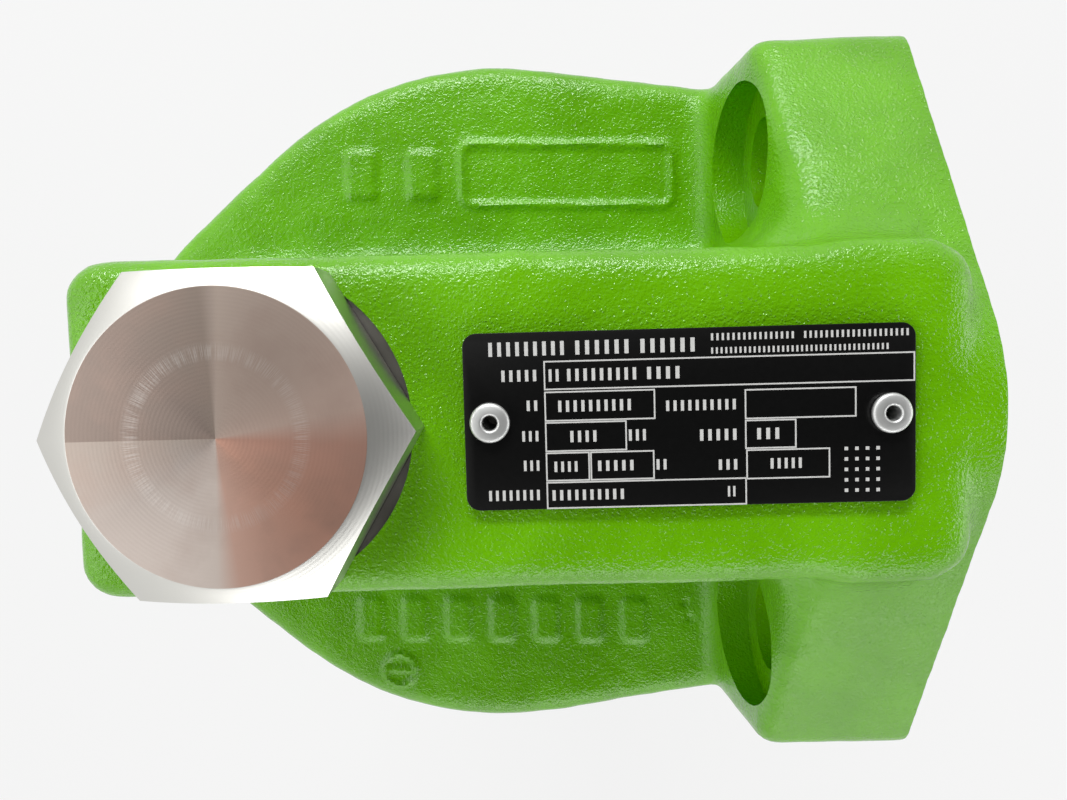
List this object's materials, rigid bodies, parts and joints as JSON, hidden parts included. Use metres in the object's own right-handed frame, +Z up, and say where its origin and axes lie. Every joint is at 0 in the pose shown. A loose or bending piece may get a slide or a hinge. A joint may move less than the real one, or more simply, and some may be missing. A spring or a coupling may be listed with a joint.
{
  "type": "hydraulic filter housing",
  "caption": "Flange-mounted hydraulic pressure filter: cast head with a plugged indicator port, screwed bowl with a drain, pleated element and bypass valve.",
  "frame": {"origin": "on the machined flange face, half-way between its two oil ports", "axes": "+X out of the flange face towards the block it is bolted to, +Z up along the bowl's axis with the bowl hanging down, +Y sideways"},
  "size_m": [0.1287, 0.116, 0.2573],
  "materials": {
    "green_gloss_paint": "yellow-green gloss paint over rough cast iron",
    "turned_stainless_steel": "stainless steel, face turned in fine circles",
    "plated_steel": "plain zinc-plated steel",
    "bright_aluminium": "bright drawn aluminium",
    "black_plate_lacquer": "thin aluminium plate with black lacquer and light fields",
    "black_rubber": "smooth black seal rubber",
    "white_backup_polymer": "white slippery polymer",
    "seal_copper": "soft copper",
    "glass_fibre_media": "off-white glass fibre fleece"
  },
  "bodies": {
    "head": {"filter_head": "green_gloss_paint", "nameplate": "black_plate_lacquer", "rivet_left": "bright_aluminium", "rivet_right": "bright_aluminium", "outlet_port_o_ring": "black_rubber", "inlet_port_o_ring": "black_rubber", "element_upper_cap": "plated_steel", "spigot_o_ring": "black_rubber", "element_core_tube": "plated_steel", "element_pleats": "glass_fibre_media", "element_lower_cap": "plated_steel", "bypass_seat": "plated_steel", "bypass_spring": "plated_steel"},
    "plug_seal": {"plug_o_ring": "black_rubber"},
    "plug": {"screw_plug": "turned_stainless_steel"},
    "bowl_seal": {"bowl_o_ring": "black_rubber", "bowl_backup_ring": "white_backup_polymer"},
    "bowl": {"filter_bowl": "green_gloss_paint"},
    "drain_seal": {"drain_seal_ring": "seal_copper"},
    "drain": {"drain_screw": "plated_steel"},
    "bypass": {"bypass_poppet": "plated_steel"}
  },
  "joints": [
    {"name": "plug_travel", "type": "slide", "parent": "head", "child": "plug_seal", "axis": [0, 0, 1], "range_m": [0, 0.022]},
    {"name": "plug_turn", "type": "hinge", "parent": "plug_seal", "child": "plug", "pos_m": [-0.088, 0, 0.051], "axis": [0, 0, 1], "range_deg": [0, 3960]},
    {"name": "bowl_travel", "type": "slide", "parent": "head", "child": "bowl_seal", "axis": [0, 0, -1], "range_m": [0, 0.014]},
    {"name": "bowl_turn", "type": "hinge", "parent": "bowl_seal", "child": "bowl", "pos_m": [-0.0615, 0, -0.0246], "axis": [0, 0, -1], "range_deg": [0, 2520]},
    {"name": "drain_travel", "type": "slide", "parent": "bowl", "child": "drain_seal", "axis": [0, 0, -1], "range_m": [0, 0.014]},
    {"name": "drain_turn", "type": "hinge", "parent": "drain_seal", "child": "drain", "pos_m": [-0.0615, 0, -0.1922], "axis": [0, 0, -1], "range_deg": [0, 3780]},
    {"name": "bypass_lift", "type": "slide", "parent": "head", "child": "bypass", "axis": [0, 0, 1], "range_m": [0, 0.0045], "stiffness_N_per_m": 3000, "springref_m": -0.0074, "deforming": ["bypass_spring"]}
  ],
  "couplings": [
    {"joint": "plug_turn", "follows": "plug_travel", "rad_per_m": 3141.5},
    {"joint": "bowl_turn", "follows": "bowl_travel", "rad_per_m": 3141.5},
    {"joint": "drain_turn", "follows": "drain_travel", "rad_per_m": 4712.3}
  ]
}
